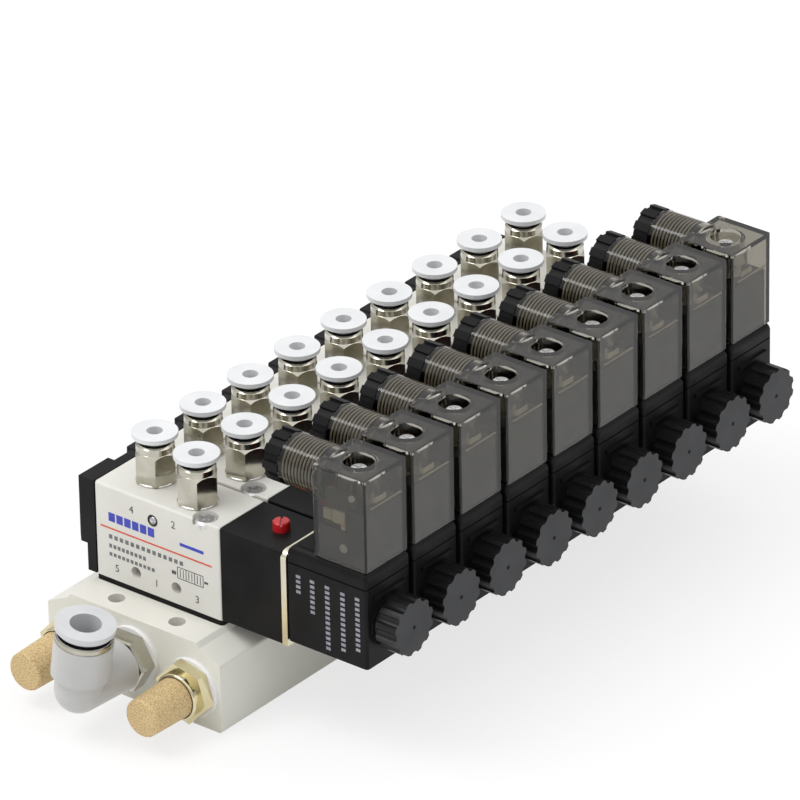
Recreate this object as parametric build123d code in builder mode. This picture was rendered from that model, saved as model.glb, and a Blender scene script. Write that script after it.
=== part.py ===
from build123d import *
import os

# Pneumatic valve island: a row of solenoid valves on one manifold.
# Millimetres. Z is up, Y runs along the manifold and X along each valve.
# The origin is the centre of the manifold's base. The supply end is at -Y.

os.makedirs("parts", exist_ok=True)

# Fits, each measured on the radius or on one side
slide_play = 0.05
thread_play = 0.05
bolt_play = 0.15
drop_in_play = 0.1

# Row of valves
station_count = 9
valve_width = 18.0
valve_gap = 1.0

# Manifold, an extrusion along Y
manifold_end_margin = 10.5
manifold_width = 57.0
pad_height = 23.8
pad_lip_run = 1.0
pad_lip_drop = 1.3
shoulder_height = 19.4
manifold_edge_radius = 0.9
exhaust_port_height = 10.6
supply_port_height = 13.3
exhaust_offset = 19.3
gallery_radius = 5.0
port_thread_radius = 6.3
port_thread_depth = 11.0
fixing_hole_radius = 2.25
fixing_spacing = 20.0
fixing_end_inset = 5.5

# Gasket under each valve
gasket_thickness = 1.5
air_window_length = 4.6
air_window_width = 6.4
air_window_spacing = 14.4

# Valve body
valve_length = 41.6
valve_height = 26.8
body_corner_radius = 1.0
body_edge_radius = 0.7
spool_bore_radius = 4.2
tube_port_spacing = 15.9
tube_port_shift = -0.65
tube_port_stagger = 1.28
tube_port_radius = 4.0
tube_port_depth = 6.6
window_depth = 2.2
mounting_screw_x = 14.2
mounting_screw_y = 6.6
screw_recess_radius = 3.3
screw_recess_depth = 1.9
side_hole_radius = 1.6
side_hole_height = 4.5
side_hole_spacing = 13.3
passage_plug_drop = 5.2
passage_plug_x = -1.4
passage_plug_depth = 1.4
body_feature_shift = -0.85

# Spool
spool_spring_room = 2.5
spool_land_length = 5.0
spool_neck_radius = 2.4
spool_stroke = 3.0

# End cover
cover_plate_thickness = 2.8
cover_block_thickness = 6.1
cover_block_reach = 11.5
cover_corner_height = 7.8
cover_block_edge = 1.2
cover_screw_y = 6.0
cover_screw_inset = 3.2

# Screws
mounting_shank_radius = 1.45
mounting_head_radius = 2.75
mounting_head_height = 1.5
mounting_thread_depth = 6.5
cover_shank_radius = 1.05
cover_shank_length = 6.0
cover_head_radius = 1.9
cover_head_height = 1.3
connector_shank_radius = 1.45
connector_head_radius = 2.6
connector_head_height = 1.9
cross_slot_width = 0.75
cross_slot_share = 0.62
cross_slot_depth = 0.8
head_chamfer_share = 0.35

# Pilot block and its push button
pilot_length = 19.6
pilot_edge_radius = 0.6
button_x = 33.5
button_radius = 2.25
button_height = 2.6
button_chamfer = 0.3
button_depth = 6.0
button_travel = 1.5
button_slot_width = 0.7
button_slot_depth = 0.7
button_slot_angle = 35

# Yoke plate between pilot block and coil
yoke_thickness = 1.7
yoke_corner_radius = 2.0

# Armature tube and its armature
tube_axis_z = 38.3
core_flange_radius = 5.5
core_flange_thickness = 2.0
core_tube_radius = 3.9
core_tube_bore = 3.0
core_tube_floor = 1.4
core_stud_radius = 2.6
core_stud_length = 5.5
armature_length = 14.0

# Coil
coil_length = 25.5
coil_width = 17.5
coil_foot_z = 27.1
coil_waist_z = 49.5
coil_top_z = 54.4
coil_corner_radius = 0.9
coil_crown_radius = 2.4
coil_groove_depth = 0.3
coil_groove_width = 0.4
coil_boss_radius = 7.2
coil_boss_height = 0.7
coil_ridge_height = 1.0
coil_ridge_width = 12.0
coil_ridge_z = 46.5

# Coil nut
nut_collar_radius = 6.6
nut_collar_length = 1.0
nut_grip_radius = 7.6
nut_grip_length = 6.4
nut_scallop_count = 12
nut_scallop_radius = 1.5
nut_scallop_offset = 8.35

# Connector cover
connector_x = 59.0
connector_length = 17.0
connector_width = 16.8
connector_top_z = 80.2
connector_wall = 1.3
connector_corner_radius = 0.8
gland_axis_share = 0.7636
gland_tube_radius = 6.9
gland_tube_bore = 5.7
gland_tube_end_x = 38.4
gland_dome_x = 55.6
gland_dome_length = 2.6
gland_dome_radius = 4.3
screw_well_radius = 4.1
screw_well_depth = 3.9
screw_column_radius = 5.2
screw_column_gap = 0.7

# Connector insert inside the cover
insert_share = 0.367
insert_tower_share = 0.266
insert_tower_length = 5.4
insert_side_play = 0.3

# Cable gland
gland_nut_length = 4.8
gland_nut_radius = 6.45
gland_rib_count = 10
gland_rib_reach = 7.05
gland_rib_width = 2.2
gland_neck_length = 5.0
gland_seal_length = 5.0
gland_neck_relief = 0.4
cable_radius = 2.9

# Tube fittings on the valve body
fitting_flats = 10.0
fitting_hex_angle = 9
fitting_hex_height = 8.9
fitting_foot_chamfer = 0.6
fitting_top_chamfer = 0.9
fitting_collar_radius = 4.95
fitting_collar_height = 2.1
fitting_collar_chamfer = 0.5
fitting_stem_length = 5.5
fitting_passage_radius = 1.5
tube_stop_height = 1.0
tube_radius = 2.1
ring_flange_radius = 6.0
ring_flange_height = 1.75
ring_flange_rim = 1.15
ring_sleeve_radius = 3.2
ring_sleeve_length = 4.2
ring_travel = 1.0
ring_lift = 1.2

# Port seals, silencers and plugs in the manifold's ends
seal_thickness = 1.3
seal_radius = 8.2
silencer_flats = 14.5
silencer_hex_angle = 47
silencer_hex_length = 3.4
silencer_collar_radius = 6.4
silencer_collar_length = 2.3
silencer_collar_round = 0.6
silencer_stem_length = 9.0
silencer_bore = 4.2
silencer_socket_floor = 1.0
element_root_radius = 5.75
element_tip_radius = 5.2
element_reach = 19.0
element_tip_round = 0.9
element_wall = 1.6
plug_head_radius = 7.8
plug_head_length = 3.0
plug_stem_length = 8.0
plug_socket_flats = 7.0
plug_socket_depth = 5.0
plug_head_chamfer = 0.6

# Elbow fitting on the supply port, at rest turned a little towards the coils
elbow_turn = 9.0
elbow_flats = 14.0
elbow_hex_length = 4.7
elbow_hex_chamfer = 0.5
elbow_stem_length = 9.0
elbow_stem_bore = 3.4
elbow_pivot_radius = 5.0
elbow_pivot_length = 6.5
elbow_arm_radius = 7.0
elbow_heel_radius = 6.3
elbow_hub_gap = 0.3
elbow_reach = 20.2
elbow_barrel_radius = 7.7
elbow_barrel_start = 5.0
elbow_barrel_top = 15.3
elbow_collar_radius = 7.2
elbow_collar_height = 1.6
elbow_tube_radius = 4.1
elbow_tube_stop = 7.0
elbow_ring_flange_radius = 7.85
elbow_ring_flange_height = 2.2
elbow_ring_rim = 1.4
elbow_ring_sleeve_radius = 5.4
elbow_ring_sleeve_length = 5.0
elbow_ring_lift = 1.2

# Worked out from the values above
pitch = valve_width + valve_gap
manifold_length = (station_count - 1) * pitch + valve_width + 2 * manifold_end_margin
end_y = manifold_length / 2
valve_base = pad_height + gasket_thickness
valve_top = valve_base + valve_height
body_end_x = valve_length / 2
spool_z = valve_base + valve_height / 2
cover_screw_rise = valve_height / 2 - cover_screw_inset
pilot_end_x = body_end_x + pilot_length
yoke_end_x = pilot_end_x + yoke_thickness
coil_end_x = yoke_end_x + coil_length
spool_length = valve_length - 2 * slide_play - spool_stroke - spool_spring_room
station_spots = [(0, (n - (station_count - 1) / 2) * pitch, 0) for n in range(station_count)]
mounting_spots = [
    (mounting_screw_x, -mounting_screw_y),
    (-mounting_screw_x, mounting_screw_y),
]
window_spots = [(-air_window_spacing, 0), (0, 0), (air_window_spacing, 0)]
tube_port_spots = [
    (tube_port_shift - tube_port_spacing / 2, tube_port_stagger),
    (tube_port_shift + tube_port_spacing / 2, -tube_port_stagger),
]
from_below = (Align.CENTER, Align.CENTER, Align.MIN)
from_above = (Align.CENTER, Align.CENTER, Align.MAX)

# Planes on the two ends, facing outwards, level with the exhaust ports
front_ports = Plane(origin=(0, -end_y, exhaust_port_height), x_dir=(1, 0, 0), z_dir=(0, -1, 0))
rear_ports = Plane(origin=(0, end_y, exhaust_port_height), x_dir=(-1, 0, 0), z_dir=(0, 1, 0))
exhaust_spots = [(-exhaust_offset, 0), (exhaust_offset, 0)]
port_spots = [(0, supply_port_height - exhaust_port_height), *exhaust_spots]


def write(piece, label, spots=((0, 0, 0),)):
    # One file holds every copy of the piece, each a separate solid
    with BuildPart() as copies:
        with Locations(*spots):
            add(piece)
    copies.part.label = label
    export_step(copies.part, f"parts/{label}.step")


def cross_head_screw(head_radius, head_height, shank_radius, shank_length):
    # The head's seat is at the origin and the shank points down
    slot_length = 2 * head_radius * cross_slot_share
    with BuildPart() as screw:
        Cylinder(head_radius, head_height, align=from_below)
        chamfer(screw.edges().group_by(Axis.Z)[-1], length=head_height * head_chamfer_share)
        Cylinder(shank_radius, shank_length, align=from_above)
        with BuildSketch(Plane.XY.offset(head_height)):
            Rectangle(slot_length, cross_slot_width)
            Rectangle(cross_slot_width, slot_length)
        extrude(amount=-cross_slot_depth, mode=Mode.SUBTRACT)
    return screw.part


def release_ring(bore, sleeve_radius, sleeve_length, neck_radius, flange_radius, height, rim):
    # A flange whose underside is at the origin, above a sleeve that grips no tube yet
    with BuildPart() as ring:
        with BuildSketch(Plane.XZ):
            with BuildLine():
                Polyline(
                    (bore, -sleeve_length),
                    (sleeve_radius, -sleeve_length),
                    (sleeve_radius, 0),
                    (neck_radius, 0),
                    (flange_radius, height - rim),
                    (flange_radius, height),
                    (bore, height),
                    close=True,
                )
            make_face()
        revolve()
    return ring.part


# Manifold
with BuildPart() as manifold:
    with BuildSketch(Plane.XZ):
        with BuildLine():
            Polyline(
                (0, pad_height),
                (body_end_x, pad_height),
                (body_end_x + pad_lip_run, pad_height - pad_lip_drop),
                (manifold_width / 2, shoulder_height),
                (manifold_width / 2, 0),
                (0, 0),
            )
            mirror(about=Plane.YZ)
        make_face()
    extrude(amount=end_y, both=True)
    long_edges = manifold.edges().filter_by(Axis.Y)
    fillet(long_edges.group_by(Axis.X)[0] + long_edges.group_by(Axis.X)[-1], manifold_edge_radius)
    with BuildSketch(front_ports):
        with Locations(*port_spots):
            Circle(gallery_radius)
    extrude(amount=-manifold_length, mode=Mode.SUBTRACT)
    with BuildSketch(front_ports, rear_ports):
        with Locations(*port_spots):
            Circle(port_thread_radius)
    extrude(amount=-port_thread_depth, mode=Mode.SUBTRACT)
    with BuildSketch(Plane.XY.offset(pad_height)):
        with GridLocations(0, pitch, 1, station_count):
            with Locations(*window_spots):
                Rectangle(air_window_length, air_window_width)
    extrude(amount=exhaust_port_height - pad_height, mode=Mode.SUBTRACT)
    with BuildSketch(Plane.XY.offset(pad_height)):
        with GridLocations(0, pitch, 1, station_count):
            with Locations(*mounting_spots):
                Circle(mounting_shank_radius + thread_play)
    extrude(amount=-mounting_thread_depth - drop_in_play, mode=Mode.SUBTRACT)
    with BuildSketch(Plane.XY.offset(pad_height)):
        with GridLocations(fixing_spacing, manifold_length - 2 * fixing_end_inset, 2, 2):
            Circle(fixing_hole_radius)
    extrude(amount=-pad_height, mode=Mode.SUBTRACT)
write(manifold.part, "manifold")

# Gasket
with BuildPart() as gasket:
    with BuildSketch(Plane.XY.offset(pad_height)):
        RectangleRounded(valve_length, valve_width, body_corner_radius)
        with Locations(*window_spots):
            Rectangle(air_window_length, air_window_width, mode=Mode.SUBTRACT)
        with Locations(*mounting_spots):
            Circle(mounting_shank_radius + bolt_play, mode=Mode.SUBTRACT)
    extrude(amount=gasket_thickness)
write(gasket.part, "valve_gaskets", station_spots)

# Valve body
with BuildPart() as valve_body:
    with BuildSketch(Plane.XY.offset(valve_base)):
        RectangleRounded(valve_length, valve_width, body_corner_radius)
    extrude(amount=valve_height)
    fillet(valve_body.edges().group_by(Axis.Z)[-1], radius=body_edge_radius)
    with Locations((0, 0, spool_z)):
        Cylinder(spool_bore_radius, valve_length, rotation=(0, 90, 0), mode=Mode.SUBTRACT)
    with BuildSketch(Plane.XY.offset(valve_top)):
        with Locations(*tube_port_spots):
            Circle(tube_port_radius)
    extrude(amount=-tube_port_depth, mode=Mode.SUBTRACT)
    with BuildSketch(Plane.XY.offset(valve_top)):
        with Locations(*mounting_spots):
            Circle(screw_recess_radius)
    extrude(amount=-screw_recess_depth, mode=Mode.SUBTRACT)
    with BuildSketch(Plane.XY.offset(valve_top)):
        with Locations(*mounting_spots):
            Circle(mounting_shank_radius + bolt_play)
    extrude(amount=-valve_height, mode=Mode.SUBTRACT)
    with BuildSketch(Plane.XY.offset(valve_base)):
        with Locations(*window_spots):
            Rectangle(air_window_length, air_window_width)
    extrude(amount=window_depth, mode=Mode.SUBTRACT)
    with BuildSketch(Plane.XZ.offset(valve_width / 2)):
        with Locations((body_feature_shift, valve_base + side_hole_height)):
            with GridLocations(side_hole_spacing, 0, 2, 1):
                Circle(side_hole_radius)
    extrude(amount=-valve_width, mode=Mode.SUBTRACT)
    with BuildSketch(Plane.XZ.offset(valve_width / 2)):
        with Locations((passage_plug_x, valve_top - passage_plug_drop)):
            Circle(side_hole_radius)
    extrude(amount=-passage_plug_depth, mode=Mode.SUBTRACT)
    with BuildSketch(Plane.YZ.offset(-body_end_x)):
        with Locations(
            (cover_screw_y, spool_z + cover_screw_rise), (-cover_screw_y, spool_z - cover_screw_rise)
        ):
            Circle(cover_shank_radius + thread_play)
    extrude(amount=cover_shank_length - cover_plate_thickness + drop_in_play, mode=Mode.SUBTRACT)
write(valve_body.part, "valve_bodies", station_spots)

# Spool, resting against the pilot end
with BuildPart() as spool:
    spool_radius = spool_bore_radius - slide_play
    neck_length = (spool_length - 3 * spool_land_length) / 2
    spool_end_x = body_end_x - slide_play
    with Locations((spool_end_x, 0, spool_z)):
        Cylinder(
            spool_neck_radius,
            spool_length,
            rotation=(0, 90, 0),
            align=(Align.CENTER, Align.CENTER, Align.MAX),
        )
    for n in range(3):
        with Locations((spool_end_x - n * (spool_land_length + neck_length), 0, spool_z)):
            Cylinder(
                spool_radius,
                spool_land_length,
                rotation=(0, 90, 0),
                align=(Align.CENTER, Align.CENTER, Align.MAX),
            )
for number, spot in enumerate(station_spots, start=1):
    write(spool.part, f"spool_{number}", [spot])

# End cover: a thin plate with a raised block that leaves two opposite corners for its screws
with BuildPart() as end_cover:
    with BuildSketch(Plane.YZ.offset(-body_end_x)):
        with Locations((0, valve_base + valve_height / 2)):
            Rectangle(valve_width, valve_height)
    extrude(amount=-cover_plate_thickness)
    front_y = -valve_width / 2
    rear_y = valve_width / 2
    with BuildSketch(Plane.YZ.offset(-body_end_x - cover_plate_thickness)):
        with BuildLine():
            Polyline(
                (front_y, valve_top),
                (front_y + cover_block_reach, valve_top),
                (front_y + cover_block_reach, valve_top - cover_corner_height),
                (rear_y, valve_top - cover_corner_height),
                (rear_y, valve_base),
                (rear_y - cover_block_reach, valve_base),
                (rear_y - cover_block_reach, valve_base + cover_corner_height),
                (front_y, valve_base + cover_corner_height),
                close=True,
            )
        make_face()
    extrude(amount=-(cover_block_thickness - cover_plate_thickness))
    chamfer(end_cover.faces().sort_by(Axis.X)[0].edges(), length=cover_block_edge)
    with BuildSketch(Plane.YZ.offset(-body_end_x - cover_plate_thickness)):
        with Locations(
            (cover_screw_y, spool_z + cover_screw_rise), (-cover_screw_y, spool_z - cover_screw_rise)
        ):
            Circle(cover_shank_radius + bolt_play)
    extrude(amount=cover_plate_thickness, mode=Mode.SUBTRACT)
write(end_cover.part, "end_covers", station_spots)

# Screws of each valve: two down into the manifold and two into the end of the body
mounting_seat_z = valve_top - screw_recess_depth
mounting_shank_length = mounting_seat_z - pad_height + mounting_thread_depth
mounting_screw = cross_head_screw(
    mounting_head_radius, mounting_head_height, mounting_shank_radius, mounting_shank_length
)
cover_screw = cross_head_screw(
    cover_head_radius, cover_head_height, cover_shank_radius, cover_shank_length
)
cover_seat_x = -body_end_x - cover_plate_thickness
with BuildPart() as valve_screw_set:
    with Locations(*[(x, y, mounting_seat_z) for x, y in mounting_spots]):
        add(mounting_screw)
    with Locations(
        Location((cover_seat_x, cover_screw_y, spool_z + cover_screw_rise), (0, -90, 0)),
        Location((cover_seat_x, -cover_screw_y, spool_z - cover_screw_rise), (0, -90, 0)),
    ):
        add(cover_screw)
write(valve_screw_set.part, "valve_screws", station_spots)

# Pilot block
button_bore = button_radius + slide_play
with BuildPart() as pilot_block:
    with BuildSketch(Plane.YZ.offset(body_end_x)):
        with Locations((0, valve_base + valve_height / 2)):
            Rectangle(valve_width, valve_height)
    extrude(amount=pilot_length)
    fillet(pilot_block.edges().filter_by(Axis.X), radius=pilot_edge_radius)
    with Locations((button_x, 0, valve_top)):
        Cylinder(
            button_bore,
            button_depth + button_travel + drop_in_play,
            align=from_above,
            mode=Mode.SUBTRACT,
        )
    with BuildSketch(Plane.YZ.offset(pilot_end_x)):
        with Locations((0, tube_axis_z)):
            Circle(core_flange_radius + drop_in_play)
    extrude(amount=-core_flange_thickness, mode=Mode.SUBTRACT)
write(pilot_block.part, "pilot_blocks", station_spots)

# Push button of the manual override, with a screwdriver slot
with BuildPart() as button:
    with Locations((button_x, 0, valve_top + button_height)):
        Cylinder(button_radius, button_height + button_depth, align=from_above)
    chamfer(button.edges().group_by(Axis.Z)[-1], length=button_chamfer)
    with BuildSketch(Plane.XY.offset(valve_top + button_height)):
        with Locations((button_x, 0)):
            Rectangle(button_slot_width, 2 * button_radius, rotation=button_slot_angle)
    extrude(amount=-button_slot_depth, mode=Mode.SUBTRACT)
for number, spot in enumerate(station_spots, start=1):
    write(button.part, f"override_button_{number}", [spot])

# Yoke plate
with BuildPart() as yoke_plate:
    with BuildSketch(Plane.YZ.offset(pilot_end_x)):
        with Locations((0, valve_base + valve_height / 2)):
            Rectangle(valve_width, valve_height)
        with Locations((0, tube_axis_z)):
            Circle(core_tube_radius + drop_in_play, mode=Mode.SUBTRACT)
    extrude(amount=yoke_thickness)
    top_corners = yoke_plate.edges().filter_by(Axis.X).group_by(Axis.Z)[-1]
    fillet(top_corners, radius=yoke_corner_radius)
write(yoke_plate.part, "yoke_plates", station_spots)

# Armature tube: a flange held by the pilot block, a closed tube and a stud for the coil nut
tube_reach = coil_end_x + coil_boss_height - pilot_end_x
with BuildPart(Plane.YZ.offset(pilot_end_x)) as core_tube:
    with Locations((0, tube_axis_z, 0)):
        Cylinder(core_flange_radius, core_flange_thickness, align=from_above)
        Cylinder(core_tube_radius, tube_reach, align=from_below)
    with Locations((0, tube_axis_z, tube_reach)):
        Cylinder(core_stud_radius, core_stud_length, align=from_below)
    with Locations((0, tube_axis_z, tube_reach - core_tube_floor)):
        Cylinder(
            core_tube_bore,
            tube_reach - core_tube_floor + core_flange_thickness,
            align=from_above,
            mode=Mode.SUBTRACT,
        )
write(core_tube.part, "armature_tubes", station_spots)

with BuildPart(Plane.YZ.offset(pilot_end_x)) as armature:
    with Locations((0, tube_axis_z, 0)):
        Cylinder(core_tube_bore - slide_play, armature_length, align=from_below)
write(armature.part, "armatures", station_spots)

# Coil: a moulded block whose top carries the connector
with BuildPart() as coil:
    with BuildSketch(Plane.XY.offset(coil_foot_z)):
        with Locations((yoke_end_x + coil_length / 2, 0)):
            RectangleRounded(coil_length, coil_width, coil_corner_radius)
    extrude(amount=coil_top_z - coil_foot_z)
    crown = coil.faces().sort_by(Axis.Z)[-1].edges().filter_by(Axis.Y).sort_by(Axis.X)[0]
    fillet(crown, radius=coil_crown_radius)
    with BuildSketch(Plane.YZ.offset(coil_end_x)):
        with Locations((0, tube_axis_z)):
            Circle(coil_boss_radius)
        with Locations((0, coil_ridge_z)):
            Rectangle(coil_ridge_width, coil_ridge_height)
    extrude(amount=coil_boss_height)
    with BuildSketch(Plane.XY.offset(coil_waist_z)):
        with Locations((yoke_end_x + coil_length / 2, 0)):
            Rectangle(coil_length, coil_width)
            Rectangle(
                coil_length - 2 * coil_groove_depth,
                coil_width - 2 * coil_groove_depth,
                mode=Mode.SUBTRACT,
            )
    extrude(amount=coil_groove_width, mode=Mode.SUBTRACT)
    with BuildSketch(Plane.YZ.offset(yoke_end_x)):
        with Locations((0, tube_axis_z)):
            Circle(core_tube_radius + drop_in_play)
    extrude(amount=coil_length + coil_boss_height, mode=Mode.SUBTRACT)
    with BuildSketch(Plane.XY.offset(coil_top_z)):
        with Locations((connector_x, 0)):
            Circle(connector_shank_radius + thread_play)
    extrude(amount=coil_waist_z - coil_top_z, mode=Mode.SUBTRACT)
write(coil.part, "coils", station_spots)

# Coil nut: a scalloped knob with a plain collar, closed at its face
nut_start_x = coil_end_x + coil_boss_height
with BuildPart(Plane.YZ.offset(nut_start_x)) as coil_nut:
    with Locations((0, tube_axis_z, 0)):
        Cylinder(nut_collar_radius, nut_collar_length, align=from_below)
    with BuildSketch(Plane.YZ.offset(nut_start_x + nut_collar_length)):
        with Locations((0, tube_axis_z)):
            Circle(nut_grip_radius)
            with PolarLocations(nut_scallop_offset, nut_scallop_count):
                Circle(nut_scallop_radius, mode=Mode.SUBTRACT)
    extrude(amount=nut_grip_length)
    with Locations((0, tube_axis_z, 0)):
        Cylinder(
            core_stud_radius + thread_play,
            core_stud_length + drop_in_play,
            align=from_below,
            mode=Mode.SUBTRACT,
        )
write(coil_nut.part, "coil_nuts", station_spots)

# Connector cover: a clear housing with the cable gland's tube on one side
inner_length = connector_length - 2 * connector_wall
inner_width = connector_width - 2 * connector_wall
inner_top_z = connector_top_z - connector_wall
gland_axis_z = coil_top_z + (connector_top_z - coil_top_z) * gland_axis_share
insert_height = (inner_top_z - coil_top_z) * insert_share
insert_tower_height = (inner_top_z - coil_top_z) * insert_tower_share
insert_top_z = coil_top_z + insert_height + insert_tower_height
screw_column_length = connector_top_z - insert_top_z - screw_column_gap
connector_side_x = connector_x - connector_length / 2
with BuildPart() as connector_cover:
    with BuildSketch(Plane.XY.offset(coil_top_z)):
        with Locations((connector_x, 0)):
            RectangleRounded(connector_length, connector_width, connector_corner_radius)
    extrude(amount=connector_top_z - coil_top_z)
    with BuildSketch(Plane.YZ.offset(gland_tube_end_x)):
        with Locations((0, gland_axis_z)):
            Circle(gland_tube_radius)
    extrude(amount=gland_dome_x - gland_dome_length - gland_tube_end_x)
    with BuildSketch(Plane.YZ.offset(gland_dome_x - gland_dome_length)):
        with Locations((0, gland_axis_z)):
            Circle(gland_tube_radius)
    with BuildSketch(Plane.YZ.offset(gland_dome_x)):
        with Locations((0, gland_axis_z)):
            Circle(gland_dome_radius)
    loft()
    with BuildSketch(Plane.XY.offset(coil_top_z)):
        with Locations((connector_x, 0)):
            Rectangle(inner_length, inner_width)
    extrude(amount=inner_top_z - coil_top_z, mode=Mode.SUBTRACT)
    with Locations((connector_x, 0, connector_top_z)):
        Cylinder(screw_column_radius, screw_column_length, align=from_above)
        Cylinder(screw_well_radius, screw_well_depth, align=from_above, mode=Mode.SUBTRACT)
        Cylinder(
            connector_shank_radius + bolt_play,
            screw_column_length,
            align=from_above,
            mode=Mode.SUBTRACT,
        )
    with BuildSketch(Plane.YZ.offset(gland_tube_end_x)):
        with Locations((0, gland_axis_z)):
            Circle(gland_tube_bore)
    extrude(amount=connector_side_x + connector_wall - gland_tube_end_x, mode=Mode.SUBTRACT)
write(connector_cover.part, "connector_covers", station_spots)

# Connector insert: the terminal block on the coil
with BuildPart() as connector_insert:
    insert_length = inner_length - 2 * insert_side_play
    insert_width = inner_width - 2 * insert_side_play
    insert_end_x = connector_x + insert_length / 2
    with BuildSketch(Plane.XY.offset(coil_top_z)):
        with Locations((connector_x, 0)):
            Rectangle(insert_length, insert_width)
    extrude(amount=insert_height)
    with BuildSketch(Plane.XY.offset(coil_top_z + insert_height)):
        with Locations((insert_end_x - insert_tower_length / 2, 0)):
            Rectangle(insert_tower_length, insert_width)
    extrude(amount=insert_tower_height)
    with BuildSketch(Plane.XY.offset(coil_top_z)):
        with Locations((connector_x, 0)):
            Circle(connector_shank_radius + bolt_play)
    extrude(amount=insert_height + insert_tower_height, mode=Mode.SUBTRACT)
write(connector_insert.part, "connector_inserts", station_spots)

connector_seat_z = connector_top_z - screw_well_depth
connector_screw = cross_head_screw(
    connector_head_radius,
    connector_head_height,
    connector_shank_radius,
    connector_seat_z - coil_waist_z - drop_in_play,
)
connector_screw_spots = [(connector_x, y, connector_seat_z) for _, y, _ in station_spots]
write(connector_screw, "connector_screws", connector_screw_spots)

# Cable gland nut and the rubber seal that it presses
with BuildPart(Plane.YZ.offset(gland_tube_end_x)) as gland_nut:
    with BuildSketch(Plane.YZ.offset(gland_tube_end_x)):
        with Locations((0, gland_axis_z)):
            Circle(gland_nut_radius)
            with PolarLocations(0, gland_rib_count):
                Rectangle(gland_rib_reach, gland_rib_width, align=(Align.MIN, Align.CENTER))
    extrude(amount=-gland_nut_length)
    with Locations((0, gland_axis_z, 0)):
        Cylinder(gland_tube_bore - thread_play, gland_neck_length, align=from_below)
        Cylinder(
            cable_radius + gland_neck_relief,
            gland_neck_length,
            align=from_below,
            mode=Mode.SUBTRACT,
        )
        Cylinder(cable_radius, gland_nut_length, align=from_above, mode=Mode.SUBTRACT)
write(gland_nut.part, "gland_nuts", station_spots)

with BuildPart(Plane.YZ.offset(gland_tube_end_x + gland_neck_length)) as gland_seal:
    with BuildSketch(Plane.YZ.offset(gland_tube_end_x + gland_neck_length)):
        with Locations((0, gland_axis_z)):
            Circle(gland_tube_bore - slide_play)
            Circle(cable_radius, mode=Mode.SUBTRACT)
    extrude(amount=gland_seal_length)
write(gland_seal.part, "gland_seals", station_spots)

# Tube fitting: a threaded stem, a hexagon and a rounded collar
hex_corner_radius = fitting_flats / 3**0.5
hex_top_z = valve_top + fitting_hex_height
collar_top_z = hex_top_z + fitting_collar_height
ring_seat_z = collar_top_z + ring_lift
with BuildPart() as fitting:
    with BuildSketch(Plane.XY.offset(valve_top)):
        RegularPolygon(fitting_flats / 2, 6, major_radius=False, rotation=fitting_hex_angle)
    extrude(amount=fitting_hex_height)
    with BuildSketch(Plane.XZ):
        with BuildLine():
            Polyline(
                (0, valve_top),
                (hex_corner_radius - fitting_foot_chamfer, valve_top),
                (hex_corner_radius, valve_top + fitting_foot_chamfer),
                (hex_corner_radius, hex_top_z - fitting_top_chamfer),
                (fitting_collar_radius, hex_top_z),
                (0, hex_top_z),
                close=True,
            )
        make_face()
    revolve(mode=Mode.INTERSECT)
    with Locations((0, 0, hex_top_z)):
        Cylinder(fitting_collar_radius, fitting_collar_height, align=from_below)
    chamfer(fitting.edges().group_by(Axis.Z)[-1], length=fitting_collar_chamfer)
    with Locations((0, 0, valve_top)):
        Cylinder(tube_port_radius - thread_play, fitting_stem_length, align=from_above)
    with Locations((0, 0, collar_top_z)):
        Cylinder(
            tube_radius,
            collar_top_z - valve_top - tube_stop_height,
            align=from_above,
            mode=Mode.SUBTRACT,
        )
        Cylinder(
            fitting_passage_radius,
            collar_top_z - valve_top + fitting_stem_length,
            align=from_above,
            mode=Mode.SUBTRACT,
        )
        Cylinder(
            ring_sleeve_radius + slide_play,
            ring_sleeve_length - ring_lift + ring_travel + drop_in_play,
            align=from_above,
            mode=Mode.SUBTRACT,
        )
fitting_spots = [(x, y + port_y, 0) for _, y, _ in station_spots for x, port_y in tube_port_spots]
write(fitting.part, "fitting_bodies", fitting_spots)

# Release rings, one on each tube fitting
small_ring = release_ring(
    tube_radius,
    ring_sleeve_radius,
    ring_sleeve_length,
    fitting_collar_radius,
    ring_flange_radius,
    ring_flange_height,
    ring_flange_rim,
)
for number, (_, y, _) in enumerate(station_spots, start=1):
    for letter, (x, port_y) in zip("ab", tube_port_spots):
        write(small_ring, f"release_ring_{letter}{number}", [(x, y + port_y, ring_seat_z)])

# Port seals under the elbow, the silencers and the rear plugs
with BuildPart() as port_seals:
    with BuildSketch(front_ports, rear_ports):
        with Locations(*port_spots):
            Circle(seal_radius)
            Circle(port_thread_radius, mode=Mode.SUBTRACT)
    extrude(amount=seal_thickness)
write(port_seals.part, "port_seals")

# Silencers: a brass body with a socket for its sintered cup
silencer_plane = front_ports.offset(seal_thickness)
with BuildPart() as silencer_bodies:
    with BuildSketch(silencer_plane):
        with Locations(*exhaust_spots):
            RegularPolygon(silencer_flats / 2, 6, major_radius=False, rotation=silencer_hex_angle)
    extrude(amount=silencer_hex_length)
    with BuildSketch(silencer_plane.offset(silencer_hex_length)):
        with Locations(*exhaust_spots):
            Circle(silencer_collar_radius)
    extrude(amount=silencer_collar_length)
    fillet(silencer_bodies.edges().group_by(Axis.Y)[0], radius=silencer_collar_round)
    with BuildSketch(silencer_plane):
        with Locations(*exhaust_spots):
            Circle(port_thread_radius - thread_play)
    extrude(amount=-silencer_stem_length)
    with BuildSketch(silencer_plane.offset(silencer_socket_floor)):
        with Locations(*exhaust_spots):
            Circle(element_root_radius)
    extrude(
        amount=silencer_hex_length + silencer_collar_length - silencer_socket_floor,
        mode=Mode.SUBTRACT,
    )
    with BuildSketch(silencer_plane.offset(silencer_socket_floor)):
        with Locations(*exhaust_spots):
            Circle(silencer_bore)
    extrude(amount=-(silencer_socket_floor + silencer_stem_length), mode=Mode.SUBTRACT)
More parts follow.
